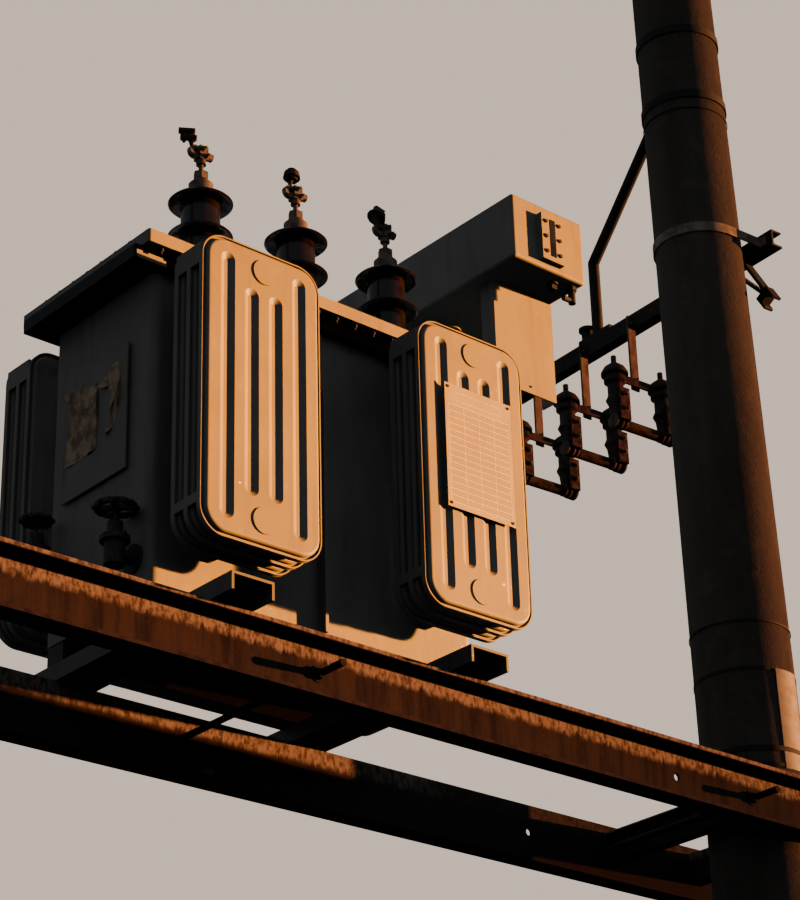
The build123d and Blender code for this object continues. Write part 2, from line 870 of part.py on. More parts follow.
def brace_axis():
    # x and y of the brace's foot, over the middle of the crossarm's top flange
    turn = radians(crossarm_turn)
    across = arm_face() + crossarm_flange / 2
    x = pole_centre(crossarm_bottom) + across * cos(turn) + brace_place * sin(turn)
    return x, brace_place * cos(turn) - across * sin(turn)


def brace():
    x, y = brace_axis()
    foot = crossarm_bottom + crossarm_height + brace_foot_sheet
    bend = (x, y, foot + brace_rise)
    top = brace_band_bottom + brace_band_height / 2
    radius = brace_diameter / 2
    pole_back = pole_radius(brace_band_bottom) + seat_gap + band_thickness + radius
    end = (pole_centre(top), pole_back, top)
    slope = Vector(*end) - Vector(*bend)
    shape = rod((x, y, foot), (0, 0, 1), radius, brace_rise)
    shape = shape + Pos(*bend) * Sphere(radius)
    return shape + rod(bend, slope, radius, slope.length)


def brace_foot():
    # plate on the crossarm's top flange, with the head of its clamping bolt
    bottom = crossarm_bottom + crossarm_height
    top = bottom + brace_foot_sheet
    middle = arm_face() + crossarm_flange / 2
    plate = box(middle - brace_foot_width / 2, middle + brace_foot_width / 2,
                brace_place - brace_foot_length / 2, brace_place + brace_foot_length / 2, bottom,
                top)
    y = brace_place + brace_bolt_offset
    bolt = rod((middle, y, top), (0, 0, 1), brace_bolt_diameter / 2, brace_bolt_height)
    head = rod((middle, y, top + brace_bolt_height), (0, 0, 1), brace_bolt_head / 2,
               brace_bolt_head_height)
    return on_arm(plate + bolt + head)


def flat_bar(x, start, end):
    # flat bar in a plane square to X, from one (y, z) place to another
    line = Vector(0, end[0] - start[0], end[1] - start[1])
    plane = Plane(origin=(x, *start), x_dir=(1, 0, 0), z_dir=line)
    return extrude(plane * Rectangle(bracket_width, bracket_bar), amount=line.length)


def side_bracket():
    # open channel on two flat bars that hang from the crossarm
    x = arm_face() + bracket_offset + bracket_width / 2
    bottom = crossarm_bottom - bracket_drop
    turn = radians(bracket_turn)
    section = channel_section(bracket_height, bracket_flange, bracket_wall, bracket_wall)
    plane = Plane(origin=(x - bracket_width / 2, -bracket_near[1], bottom),
                  x_dir=(0, -sin(turn), -cos(turn)), z_dir=(1, 0, 0))
    block = Pos(bracket_block / 2, bracket_height / 2) * Rectangle(bracket_block, bracket_height)
    shape = extrude(plane * (section + block), amount=bracket_width)
    half_web = bracket_height / 2
    middle = (-bracket_near[1] + half_web * cos(turn), bottom - half_web * sin(turn))
    shape = shape + flat_bar(x, (-bracket_near[0], crossarm_bottom),
                             (-bracket_near[1] + bracket_bar, bottom - bracket_bar))
    shape = shape + flat_bar(x, (-bracket_far[0], crossarm_bottom), middle)
    above = box(x - bracket_width, x + bracket_width, -crossarm_near, crossarm_near,
                crossarm_bottom, crossarm_bottom + crossarm_height)
    return on_arm(shape - above)


def along_pole(z, shape):
    # sets a shape that stands on z = 0 on the right pole's own leaning axis
    return Pos(pole_centre(z), 0, z) * Rot(0, -degrees(atan(pole_lean)), 0) * shape


def pole_ring(bottom, height, sheet):
    inner = pole_radius(bottom) + seat_gap
    section = Circle(inner + sheet) - Circle(inner)
    return along_pole(bottom, extrude(section, amount=height))


def number_plate():
    # plate bent to the pole's front
    inner = pole_radius(number_bottom) + seat_gap
    ring = Circle(inner + number_sheet) - Circle(inner)
    half = asin(number_width / 2 / inner)
    reach = 2 * inner
    wedge = make_face(Polyline((0, 0), (reach * sin(half), -reach * cos(half)),
                               (-reach * sin(half), -reach * cos(half)), close=True))
    section = Rot(0, 0, number_turn) * (ring & wedge)
    return along_pole(number_bottom, extrude(section, amount=number_height))


def build():
    parts = {}
    parts["right_pole"] = right_pole()
    parts["left_pole"] = mirrored(right_pole())
    parts["front_beam"] = beam(front_web, -1)
    parts["back_beam"] = beam(back_web, 1)
    parts["tie_rods"] = group(*[tie_rod(x) for x in rod_places()])
    ties = (cross_tie(-1), cross_tie(1))
    parts["right_pole_ties"] = group(*ties)
    parts["left_pole_ties"] = group(*[mirrored(tie) for tie in ties])
    parts["left_skid"] = skid(left_skid_side())
    parts["right_skid"] = skid(right_skid_side() - skid_width)
    parts["frame_bars"] = frame_bars()
    parts["tank"] = tank()
    parts["cover"] = cover()
    for side, name in ((-1, "left"), (1, "right")):
        x = middle_x + side * radiator_spacing / 2
        parts[name + "_front_radiator"] = radiator(x, tank_front, -1)
        parts[name + "_back_radiator"] = radiator(x, tank_back, 1)
    parts["rating_plate_holder"] = rating_plate()
    parts["end_plate"] = end_plate()
    for index, name in enumerate(("left", "middle", "right")):
        x = middle_x + hv_shift + (index - 1) * hv_spacing
        parts["hv_bushing_" + name] = hv_bushing(x)
        parts["hv_terminal_" + name] = hv_terminal(x)
    parts["lv_bushings"] = group(*[lv_bushing(index) for index in range(lv_count)])
    parts["conservator"] = conservator()
    parts["front_post"] = front_post()
    parts["back_post"] = front_post().mirror(Plane.XZ.offset(-middle_y()))
    parts["oil_gauge"] = oil_gauge()
    parts["conservator_pipe"] = conservator_pipe()
    parts["conservator_plug"] = conservator_plug()
    parts["conservator_drain"] = conservator_tap()
    for name, diameter, drop, setback in (
            ("front", front_wheel_diameter, front_valve_drop, front_valve_setback),
            ("back", back_wheel_diameter, back_valve_drop, back_valve_setback)):
        parts[name + "_drain_valve"] = drain_valve(drop, setback)
        parts[name + "_hand_wheel"] = hand_wheel(diameter, drop, setback)
    parts["crossarm"] = crossarm()
    parts["crossarm_band"] = crossarm_band()
    for index, place in enumerate(fuse_places, start=1):
        parts[f"fuse_hanger_{index}"] = fuse_hanger(place)
        parts[f"fuse_base_{index}"] = fuse_base(place)
        parts[f"fuse_link_{index}"] = fuse_link(place)
    parts["crossarm_brace"] = brace()
    parts["brace_foot"] = brace_foot()
    parts["side_bracket"] = side_bracket()
    parts["brace_band"] = pole_ring(brace_band_bottom, brace_band_height, band_thickness)
    parts["upper_band"] = pole_ring(upper_band_bottom, brace_band_height, band_thickness)
    parts["number_plate"] = number_plate()
    return parts


os.makedirs("parts", exist_ok=True)
for name, shape in build().items():
    export_step(shape, f"parts/{name}.step")
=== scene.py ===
from math import cos, radians, sin, tau

import bmesh
import bpy
from mathutils import Matrix, Vector


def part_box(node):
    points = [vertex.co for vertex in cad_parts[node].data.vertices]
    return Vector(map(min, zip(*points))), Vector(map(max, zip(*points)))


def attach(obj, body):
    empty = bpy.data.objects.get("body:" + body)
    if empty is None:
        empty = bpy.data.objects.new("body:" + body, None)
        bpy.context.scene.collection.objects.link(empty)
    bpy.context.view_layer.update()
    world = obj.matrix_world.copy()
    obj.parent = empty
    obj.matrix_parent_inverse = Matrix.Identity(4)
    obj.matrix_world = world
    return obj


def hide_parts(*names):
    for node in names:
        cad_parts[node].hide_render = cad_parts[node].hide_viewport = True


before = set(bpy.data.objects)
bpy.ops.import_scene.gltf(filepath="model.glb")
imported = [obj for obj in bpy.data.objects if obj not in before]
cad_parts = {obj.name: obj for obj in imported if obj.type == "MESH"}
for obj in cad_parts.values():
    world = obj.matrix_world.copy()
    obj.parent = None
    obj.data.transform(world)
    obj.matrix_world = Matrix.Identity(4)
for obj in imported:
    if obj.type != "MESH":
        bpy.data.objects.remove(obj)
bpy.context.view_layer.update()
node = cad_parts


# Camera: an eye 1.6 m above the ground, in front and to the left of the station,
# that looks up along the platform with a long lens.
heading, tilt, roll = radians(48.7124), radians(26.6057), radians(-1.5889)
viewpoint = (-4.7272, -3.9826, 1.6067)
ahead = Vector((cos(heading) * cos(tilt), sin(heading) * cos(tilt), sin(tilt)))
level = ahead.cross(Vector((0, 0, 1))).normalized()
upright = level.cross(ahead)
across = cos(roll) * level + sin(roll) * upright
up = cos(roll) * upright - sin(roll) * level
lens = bpy.data.cameras.new("camera")
lens.lens = 101.85
lens.sensor_width = 36
lens.clip_end = 200
camera = bpy.data.objects.new("camera", lens)
camera.matrix_world = Matrix.Translation(viewpoint) @ Matrix(
    (across, up, -ahead)).transposed().to_4x4()
bpy.context.scene.collection.objects.link(camera)
bpy.context.scene.camera = camera


# Studio: a pale floor and a pale even backdrop. Six warm lamps shine along one line, low
# from the right: five light chosen pieces only, and a weak one bounces between them all.
# A seventh, soft and cool, stands high at the back and lights the far side.
class Tone:
    """A number that varies over a surface: arithmetic on it adds Math nodes."""

    def __init__(self, finish, socket):
        self.finish = finish
        self.socket = socket

    def maths(self, operation, first, second):
        made = self.finish.add("ShaderNodeMath", {"operation": operation}, {0: first, 1: second})
        return Tone(self.finish, made.outputs[0])

    def __add__(self, other):
        return self.maths("ADD", self, other)

    __radd__ = __add__

    def __mul__(self, other):
        return self.maths("MULTIPLY", self, other)

    __rmul__ = __mul__

    def __sub__(self, other):
        return self.maths("SUBTRACT", self, other)

    def __rsub__(self, other):
        return self.maths("SUBTRACT", other, self)

    def over(self, edge):
        return self.maths("GREATER_THAN", self, edge)

    def most(self, other):
        return self.maths("MAXIMUM", self, other)

    def folded(self, span):
        return self.maths("PINGPONG", self, span)


class Finish:
    """One material and its nodes, read from Object coordinates in metres."""

    def __init__(self, name, roughness=0.6, metallic=0.0, coat=0.0):
        self.material = bpy.data.materials.new(name)
        self.material.use_nodes = True
        self.tree = self.material.node_tree
        self.shader = self.tree.nodes["Principled BSDF"]
        self.shader.inputs["Roughness"].default_value = roughness
        self.shader.inputs["Metallic"].default_value = metallic
        self.shader.inputs["Coat Weight"].default_value = coat
        self.place = self.add("ShaderNodeTexCoord", {}, {}).outputs["Object"]

    def add(self, kind, settings, sockets):
        made = self.tree.nodes.new(kind)
        for name, value in settings.items():
            setattr(made, name, value)
        for name, value in sockets.items():
            entry = made.inputs[name]
            if isinstance(value, Tone):
                value = value.socket
            if isinstance(value, bpy.types.NodeSocket):
                self.tree.links.new(value, entry)
            else:
                entry.default_value = value
        return made

    def axis(self, letter):
        parts = self.add("ShaderNodeSeparateXYZ", {}, {"Vector": self.place})
        return Tone(self, parts.outputs[letter])

    def facing(self, letter):
        normal = self.add("ShaderNodeNewGeometry", {}, {}).outputs["Normal"]
        parts = self.add("ShaderNodeSeparateXYZ", {}, {"Vector": normal})
        return Tone(self, parts.outputs[letter])

    def noise(self, scale, detail=4.0, stretch=(1, 1, 1), roughness=0.55):
        mapped = self.add("ShaderNodeMapping", {}, {"Vector": self.place, "Scale": stretch})
        made = self.add("ShaderNodeTexNoise", {}, {
            "Vector": mapped.outputs[0], "Scale": scale, "Detail": detail,
            "Roughness": roughness})
        return Tone(self, made.outputs["Fac"])

    def ramp(self, tone, low, high):
        made = self.add("ShaderNodeMapRange", {"interpolation_type": "SMOOTHSTEP"}, {
            "Value": tone, "From Min": low, "From Max": high})
        return Tone(self, made.outputs["Result"])

    def mix(self, mask, under, over):
        made = self.add("ShaderNodeMix", {"data_type": "RGBA"}, {0: mask})
        for index, colour in ((6, under), (7, over)):
            if isinstance(colour, bpy.types.NodeSocket):
                self.tree.links.new(colour, made.inputs[index])
            else:
                made.inputs[index].default_value = (*colour, 1)
        return made.outputs[2]

    def set(self, name, value):
        if isinstance(value, Tone):
            value = value.socket
        self.tree.links.new(value, self.shader.inputs[name])

    def bump(self, height, strength, distance):
        made = self.add("ShaderNodeBump", {}, {
            "Height": height, "Strength": strength, "Distance": distance})
        self.set("Normal", made.outputs[0])


sunlit = bpy.data.collections.new("sunlit")
flagged = bpy.data.collections.new("flagged")
screened = bpy.data.collections.new("screened")
steelwork = bpy.data.collections.new("steelwork")


def lamp(name, energy, colour, toward, spread,
         bounces=0, lights=None, matt=True, gloss=True):
    data = bpy.data.lights.new(name, "SUN")
    data.energy = energy
    data.color = colour
    data.angle = radians(spread)
    data.cycles.max_bounces = bounces
    made = bpy.data.objects.new(name, data)
    made.matrix_world = Vector(toward).to_track_quat("-Z", "Y").to_matrix().to_4x4()
    bpy.context.scene.collection.objects.link(made)
    made.visible_diffuse, made.visible_glossy = matt, gloss
    if lights:
        made.light_linking.receiver_collection = lights


key_travel, fill_travel = (-0.8901, 0.4535, -0.0454), (-0.72, -0.42, -0.55)
narrow, glossy_spread, soft = 0.9, 2.5, 35
golden, amber, straw = (1.0, 0.272, 0.0), (1.0, 0.36, 0.10), (1.0, 0.52, 0.16)
copper, ember, cool_white = (1.0, 0.32, 0.11), (1.0, 0.31, 0.10), (0.92, 0.94, 1.0)
lamp("warm_key", 29.0, golden, key_travel, narrow, lights=sunlit, gloss=False)
lamp("key_sheen", 20.0, straw, key_travel, glossy_spread, lights=sunlit, matt=False)
lamp("flagged_key", 9.5, amber, key_travel, narrow, lights=flagged)
lamp("steel_key", 11.0, copper, key_travel, narrow, lights=steelwork, gloss=False)
lamp("screened_key", 6.0, ember, key_travel, narrow, lights=screened, gloss=False)
lamp("key_bounce", 1.3, amber, key_travel, narrow, bounces=4, gloss=False)
lamp("back_fill", 5.0, cool_white, fill_travel, soft, gloss=False)

world = bpy.data.worlds.new("studio")
bpy.context.scene.world = world
world.use_nodes = True
room = world.node_tree.nodes
ambient = room["Background"]
ambient.inputs["Color"].default_value = (0.88, 0.93, 1.0, 1)
ambient.inputs["Strength"].default_value = 0.125
backdrop = room.new("ShaderNodeBackground")
backdrop.inputs["Color"].default_value = (0.80, 0.66, 0.54, 1)
shared = room.new("ShaderNodeMixShader")
seen = room.new("ShaderNodeLightPath")
for source, entry in ((seen.outputs["Is Camera Ray"], shared.inputs[0]),
                      (ambient.outputs[0], shared.inputs[1]),
                      (backdrop.outputs[0], shared.inputs[2]),
                      (shared.outputs[0], room["World Output"].inputs["Surface"])):
    world.node_tree.links.new(source, entry)

floor_reach, floor_drop = 30, -0.001
floor_mesh = bpy.data.meshes.new("floor")
slab = bmesh.new()
bmesh.ops.create_grid(slab, x_segments=1, y_segments=1, size=floor_reach)
bmesh.ops.translate(slab, verts=slab.verts, vec=(-1.5, 0, floor_drop))
slab.to_mesh(floor_mesh)
slab.free()
floor = bpy.data.objects.new("floor", floor_mesh)
bpy.context.scene.collection.objects.link(floor)
pale_floor = Finish("pale_floor", roughness=0.9)
pale_floor.set("Base Color", pale_floor.mix(
    pale_floor.noise(0.4), (0.60, 0.57, 0.54), (0.66, 0.63, 0.60)))
shade = pale_floor.add("ShaderNodeBsdfDiffuse", {}, {"Color": (0.06, 0.06, 0.06, 1)})
ray = pale_floor.add("ShaderNodeLightPath", {}, {})
calm = pale_floor.add("ShaderNodeMixShader", {}, {
    0: ray.outputs["Is Camera Ray"], 1: shade.outputs[0], 2: pale_floor.shader.outputs[0]})
pale_floor.tree.links.new(
    calm.outputs[0], pale_floor.tree.nodes["Material Output"].inputs["Surface"])
floor_mesh.materials.append(pale_floor.material)


# Poles: tapered spun concrete, grey-brown and rough, with fine pores, pale and dark
# speckles and long rain stains.
concrete = Finish("spun_concrete", roughness=0.9)
speckle = concrete.noise(150, 6, roughness=0.65)
stain = concrete.ramp(concrete.noise(9, 6, (1, 1, 0.10)), 0.35, 0.68)
base = concrete.mix(stain, (0.098, 0.088, 0.074), (0.066, 0.057, 0.046))
base = concrete.mix(concrete.ramp(concrete.noise(16, 8), 0.5, 0.72) * 0.55, base,
                    (0.125, 0.105, 0.085))
base = concrete.mix(concrete.ramp(speckle, 0.56, 0.70) * 0.55, base, (0.036, 0.029, 0.023))
base = concrete.mix(concrete.ramp(speckle, 0.44, 0.30) * 0.40, base, (0.19, 0.165, 0.135))
concrete.set("Base Color", base)
concrete.bump(speckle * 0.8 + concrete.noise(34, 5) * 0.9, 0.75, 0.004)


def dress(finish, *names, lit=flagged):
    """Gives these CAD pieces a finish and puts them under one group's lamps."""
    for name in names:
        if lit:
            lit.objects.link(node[name])
        mesh = node[name].data
        if not mesh.materials:
            mesh.materials.append(finish.material)
        for slot in node[name].material_slots:
            slot.material = finish.material


dress(concrete, "right_pole", "left_pole", lit=screened)


# Hoops: black wire and narrow band iron, drawn tight round the right pole at four heights
# between the platform and a little above the crossarm.
pole_lean, foot_radius, pole_taper = 0.0225, 0.158, 0.064 / 8.5
hoop_clearance, hoop_thickness = 0.0006, 0.0022


def pole_hoop(mesh, height, width, thickness):
    """A flat hoop that lies round the right pole at this height."""
    middle = (-pole_lean * height, 0, height)
    low, high = (foot_radius - pole_taper * (height + side * width / 2) + hoop_clearance
                 for side in (-1, 1))
    made = bmesh.ops.create_cone(mesh, cap_ends=False, segments=120, radius1=low, radius2=high,
                                 depth=width, matrix=Matrix.Translation(middle))
    wall = list({face for vert in made["verts"] for face in vert.link_faces})
    bmesh.ops.recalc_face_normals(mesh, faces=wall)
    bmesh.ops.solidify(mesh, geom=wall, thickness=-thickness)


def finish_piece(mesh, name, finish, lit=flagged, replaced=()):
    """Closes a mesh, gives it its finish and lamps, and hands it over as one piece."""
    bmesh.ops.remove_doubles(mesh, verts=mesh.verts, dist=0.000005)
    bmesh.ops.recalc_face_normals(mesh, faces=mesh.faces)
    data = bpy.data.meshes.new(name)
    mesh.to_mesh(data)
    mesh.free()
    data.materials.append(finish.material)
    made = bpy.data.objects.new(name, data)
    bpy.context.scene.collection.objects.link(made)
    if lit:
        lit.objects.link(made)
    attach(made, "root")
    if replaced:
        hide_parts(*replaced)


tie_wire = Finish("black_tie_wire", roughness=0.7, metallic=0.3)
tie_wire.set("Base Color", tie_wire.mix(tie_wire.noise(60), (0.012, 0.011, 0.010),
                                        (0.035, 0.028, 0.022)))
hoops = bmesh.new()
for hoop_height, hoop_width in ((4.070, 0.0045), (3.733, 0.011), (3.728, 0.005), (5.609, 0.003)):
    pole_hoop(hoops, hoop_height, hoop_width, hoop_thickness)
finish_piece(hoops, "pole_hoops", tie_wire)


# Platform beams, cross ties and rods: rolled steel whose paint has worn to brown rust,
# paler in a ragged band below the top flange, with runs down the web. Painted shade darkens
# it towards the right pole, and a painted shadow leaves the back beam's inner face nearly
# black there.
rust = Finish("rusty_steel", roughness=0.85)
band_low, band_high, ragged_depth, drip_depth = 3.608, 3.624, 0.034, -0.012
shade_start, shade_end, shade_share = -1.9, 0.1, 0.62
back_start, back_full, back_share, between_beams = -1.05, -0.75, 0.90, 0.25
patches = rust.noise(8, 8, (1, 1, 1), 0.65)
fine = rust.noise(90, 6)
height, length, depth_back = rust.axis("Z"), rust.axis("X"), rust.axis("Y")
runs = rust.noise(34, 6, (1, 1, 0.09), 0.65)
ragged = rust.noise(20, 10, (1, 1, 0.5), 0.72)
pits = rust.noise(95, 7, (1, 1, 0.5), 0.68)
drip = rust.ramp(rust.noise(60, 5, (1, 1, 0.06), 0.6), 0.48, 0.70)
band = rust.ramp(height + ragged * ragged_depth + drip * drip_depth, band_low, band_high)
web_face = 1.0 - rust.ramp(rust.facing("Z") * rust.facing("Z"), 0.3, 0.6)
steel = rust.mix(rust.ramp(patches, 0.35, 0.65), (0.026, 0.020, 0.017), (0.040, 0.031, 0.027))
steel = rust.mix(rust.ramp(runs, 0.42, 0.70) * 0.80, steel, (0.050, 0.034, 0.026))
steel = rust.mix(rust.ramp(runs, 0.52, 0.32) * 0.75, steel, (0.014, 0.011, 0.010))
steel = rust.mix(rust.ramp(fine, 0.5, 0.8) * 0.3, steel, (0.072, 0.046, 0.030))
pale_band = rust.mix(rust.ramp(pits, 0.30, 0.62), (0.085, 0.060, 0.045), (0.27, 0.225, 0.175))
steel = rust.mix(band * web_face * (0.45 + 0.55 * rust.ramp(pits, 0.34, 0.56)), steel, pale_band)
# Painted shade: darker towards the right pole, and a painted shadow, nearly black, on the back
# beam's inner face near its right end.
painted_shade_right = rust.ramp(length, shade_start, shade_end) * shade_share
inner_face = rust.ramp(rust.facing("Y"), -0.4, -0.8)
painted_shadow_back = (depth_back.over(between_beams) * rust.ramp(length, back_start, back_full)
            * inner_face)
steel = rust.mix(painted_shade_right.most(painted_shadow_back * back_share) * (1.0 - 0.5 * band * (1.0 - painted_shadow_back)),
                 steel, (0.009, 0.007, 0.006))
rust.set("Base Color", steel)
rust.set("Roughness", 0.65 + 0.25 * patches)
rust.bump(patches * 0.5 + fine * 0.4 + pits * band * 0.5, 0.5, 0.002)
dress(rust, "front_beam", "back_beam", "right_pole_ties", "left_pole_ties", "tie_rods",
      lit=steelwork)


# Threads: the front ends of the five clamping rods past their nuts, each with a few turns
# of thread, rusted like the rods.
rod_height, rod_radius, thread_rise = 3.570, 0.0083, 0.0009
rod_turns, first_turn, turn_pitch, turn_width = 9, 0.0030, 0.0042, 0.0021
rod_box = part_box("tie_rods")
threads = bmesh.new()
for rod_x in (0.103, -0.263, -1.597, -2.657, -3.023):
    for turn_number in range(rod_turns):
        turn_y = rod_box[0].y + first_turn + turn_number * turn_pitch
        bmesh.ops.create_cone(
            threads, cap_ends=True, segments=20, radius1=rod_radius,
            radius2=rod_radius + thread_rise, depth=turn_width,
            matrix=Matrix.Translation((rod_x, turn_y, rod_height))
            @ Matrix.Rotation(radians(90), 4, "X"))
finish_piece(threads, "rod_threads", rust, lit=steelwork)


# Crossarm, its brace and their bands, and the side bracket: galvanized steel gone almost
# black, with brown stains. The band that clamps the crossarm to the pole is newer, and
# still a pale grey.
zinc = Finish("dull_zinc", roughness=0.6, metallic=0.2)
bloom = zinc.noise(40, 6)
dull = zinc.mix(zinc.ramp(bloom, 0.4, 0.65), (0.016, 0.0145, 0.013), (0.032, 0.028, 0.025))
dull = zinc.mix(zinc.ramp(zinc.noise(18, 6), 0.52, 0.68), dull, (0.042, 0.026, 0.018))
zinc.set("Base Color", dull)
zinc.set("Roughness", 0.5 + 0.35 * bloom)
zinc.bump(bloom, 0.3, 0.001)
dress(zinc, "crossarm", "crossarm_brace", "brace_band", "brace_foot", "upper_band",
      "side_bracket")

strap = Finish("pale_strap", roughness=0.6, metallic=0.1)
scuff = strap.noise(28, 6)
strap.set("Base Color", strap.mix(strap.ramp(scuff, 0.35, 0.65), (0.36, 0.285, 0.24),
                                  (0.17, 0.115, 0.090)))
strap.set("Roughness", 0.5 + 0.3 * scuff)
strap.bump(scuff, 0.3, 0.001)
dress(strap, "crossarm_band")


# Fuse hangers: short flat bars of galvanized steel, stained brown, that hang from the
# crossarm with their wide faces to the front. A bolt holds each at its top and its foot.
washer_thickness = 0.0022


def bolt(mesh, place, toward, width, height, sides=6, stud=0.0, washer=0.0):
    """A nut or bolt head on its washer, standing on place, with the end of its thread."""
    turn = Vector(toward).to_track_quat("Z", "Y").to_matrix().to_4x4()
    start = 0.0
    for wide, tall, count in ((washer, washer_thickness if washer else 0.0, 24),
                              (width, height, sides), (stud, 0.6 * width, 14)):
        if wide and tall:
            lift = Matrix.Translation((0, 0, start + tall / 2))
            made = bmesh.ops.create_cone(
                mesh, cap_ends=True, segments=count, radius1=wide / 2, radius2=wide / 2,
                depth=tall, matrix=Matrix.Translation(place) @ turn @ lift)
            rim = [edge for edge in {e for v in made["verts"] for e in v.link_edges}
                   if all((v.co - Vector(place)).dot(Vector(toward).normalized())
                          > start + tall * 0.9 for v in edge.verts)]
            bmesh.ops.bevel(mesh, geom=rim, offset=min(wide, tall) * 0.10, segments=1,
                            affect="EDGES", profile=0.5, material=-1)
            start += tall


def block(mesh, middle, size, softened=0.0):
    """An upright bar or strip about its middle, with its edges softened this far."""
    made = bmesh.ops.create_cube(mesh, size=1, matrix=Matrix.Translation(middle)
                                 @ Matrix.Diagonal((*size, 1)))
    edges = list({edge for vert in made["verts"] for edge in vert.link_edges})
    if softened:
        bmesh.ops.bevel(mesh, geom=edges, offset=softened, segments=2, affect="EDGES",
                        profile=0.5, material=-1)


stained = Finish("stained_zinc", roughness=0.65, metallic=0.1)
stain_tone = stained.noise(26, 7, (1, 1, 0.5), 0.65)
stained.set("Base Color", stained.mix(stained.ramp(stain_tone, 0.35, 0.65), (0.16, 0.125, 0.105),
                                      (0.065, 0.044, 0.033)))
stained.set("Roughness", 0.55 + 0.3 * stain_tone)
stained.bump(stain_tone, 0.35, 0.001)
to_front = (0, -1, 0)
head_drop, foot_rise, bar_softening = 0.022, 0.018, 0.0008
hangers = bmesh.new()
for number in (1, 2, 3):
    hanger_low, hanger_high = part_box(f"fuse_hanger_{number}")
    hanger_middle = (hanger_low + hanger_high) / 2
    thin, broad, tall = hanger_high - hanger_low
    block(hangers, hanger_middle, (broad, thin, tall), bar_softening)
    bolt(hangers, (hanger_middle.x, hanger_middle.y - thin / 2, hanger_high.z - head_drop),
         to_front, 0.015, 0.006, washer=0.021)
    bolt(hangers, (hanger_middle.x, hanger_middle.y - thin / 2, hanger_low.z + foot_rise),
         to_front, 0.013, 0.005, washer=0.018)
finish_piece(hangers, "fuse_hangers", stained, lit=steelwork,
             replaced=("fuse_hanger_1", "fuse_hanger_2", "fuse_hanger_3"))


# Tank, cover, radiators, conservator with its posts, and skids: sheet steel under grey
# enamel, mottled and streaked by rain, with flecks of rust. The tank's collar under the
# cover is painted near black as shade, and the skids are painted darker as shade.
enamel = Finish("grey_enamel", roughness=0.5)
collar_low, collar_high, collar_right = 4.503, 4.5365, -0.9440
collar_face, collar_shoulder, collar_break = -0.0345, -0.004, -1.905
low_shade_top, low_shade_full, low_shade_share = 3.715, 3.690, 0.60
cloud = enamel.noise(5, 6)
mottle = enamel.noise(17, 7, (1, 1, 0.45), 0.62)
streak = enamel.noise(34, 6, (1, 1, 0.07), 0.6)
flecks = enamel.noise(120, 5, (1, 1, 1), 0.7)
paint = enamel.mix(enamel.ramp(cloud, 0.3, 0.7), (0.235, 0.232, 0.222), (0.275, 0.268, 0.250))
paint = enamel.mix(enamel.ramp(mottle, 0.48, 0.72) * 0.60, paint, (0.215, 0.190, 0.160))
paint = enamel.mix(enamel.ramp(mottle, 0.44, 0.26) * 0.50, paint, (0.330, 0.318, 0.280))
paint = enamel.mix(enamel.ramp(streak, 0.52, 0.74) * 0.50, paint, (0.165, 0.135, 0.105))
paint = enamel.mix(enamel.ramp(flecks, 0.66, 0.72) * 0.6, paint, (0.095, 0.062, 0.040))
east, north, rise = enamel.axis("X"), enamel.axis("Y"), enamel.axis("Z")
# Painted shade: the collar's front under the cover is near black, all but a short stretch at its
# left corner.
painted_shade_collar = (rise.over(collar_low) * (1.0 - rise.over(collar_high)) * north.over(collar_face)
        * (1.0 - east.over(collar_right))
        * east.over(collar_break).most(north.over(collar_shoulder)))
# Painted shade: the enamel grows darker towards the bottom, over the skids.
painted_shade_low = enamel.ramp(rise, low_shade_top, low_shade_full) * low_shade_share
paint = enamel.mix(painted_shade_low, paint, (0.040, 0.034, 0.028))
paint = enamel.mix(painted_shade_collar, paint, (0.0022, 0.0020, 0.0018))
enamel.set("Base Color", paint)
enamel.set("Roughness", 0.40 + 0.25 * cloud + 0.10 * mottle)
enamel.bump(enamel.noise(220, 3) + cloud * 0.5 + mottle * 0.6, 0.14, 0.0009)
dress(enamel, "tank", "cover", "left_front_radiator", "right_front_radiator",
      "left_back_radiator", "right_back_radiator", "conservator", "front_post", "back_post",
      "conservator_pipe", "oil_gauge", "left_skid", "right_skid", "end_plate", lit=sunlit)


# Cover bolts: painted hexagon bolts all round the cover's rim, with nuts below it on the
# long sides, and no heads where the front post stands. The base frame's bars, between the
# skids, take the same dark colour as painted shade.
bolt_and_shade_iron = Finish("bolt_paint_and_frame_shade", roughness=0.55, metallic=0.2)
bolt_and_shade_iron.set("Base Color", bolt_and_shade_iron.mix(bolt_and_shade_iron.noise(90, 5), (0.030, 0.026, 0.022),
                                            (0.085, 0.068, 0.052)))
bolt_and_shade_iron.bump(bolt_and_shade_iron.noise(140, 4), 0.3, 0.0005)
# Painted shade: the frame bars take the bolts' dark colour and no key lamp.
dress(bolt_and_shade_iron, "frame_bars", lit=None)
upward, downward = (0, 0, 1), (0, 0, -1)
cover_low, cover_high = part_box("cover")
side_inset, end_inset, bolt_pitch = 0.0135, 0.010, 0.0555
first_on_side, first_on_end, side_count, end_count = 0.042, 0.085, 18, 7
bolt_width, head_height, nut_height, thread_width = 0.013, 0.007, 0.008, 0.007
post_foot, post_room = 0.857, 0.1
cover_bolts = bmesh.new()
for step in range(side_count):
    bolt_x = cover_low.x + first_on_side + step * bolt_pitch
    for bolt_y in (cover_low.y + side_inset, cover_high.y - side_inset):
        bolt(cover_bolts, (bolt_x, bolt_y, cover_low.z), downward, bolt_width, nut_height,
             stud=thread_width)
        if bolt_y > cover_low.y + post_room or abs(bolt_x + post_foot) > post_room:
            bolt(cover_bolts, (bolt_x, bolt_y, cover_high.z), upward, bolt_width, head_height)
for step in range(end_count):
    bolt_y = cover_low.y + first_on_end + step * bolt_pitch
    bolt(cover_bolts, (cover_low.x + end_inset, bolt_y, cover_high.z), upward, bolt_width,
         head_height)
finish_piece(cover_bolts, "cover_bolts", bolt_and_shade_iron)
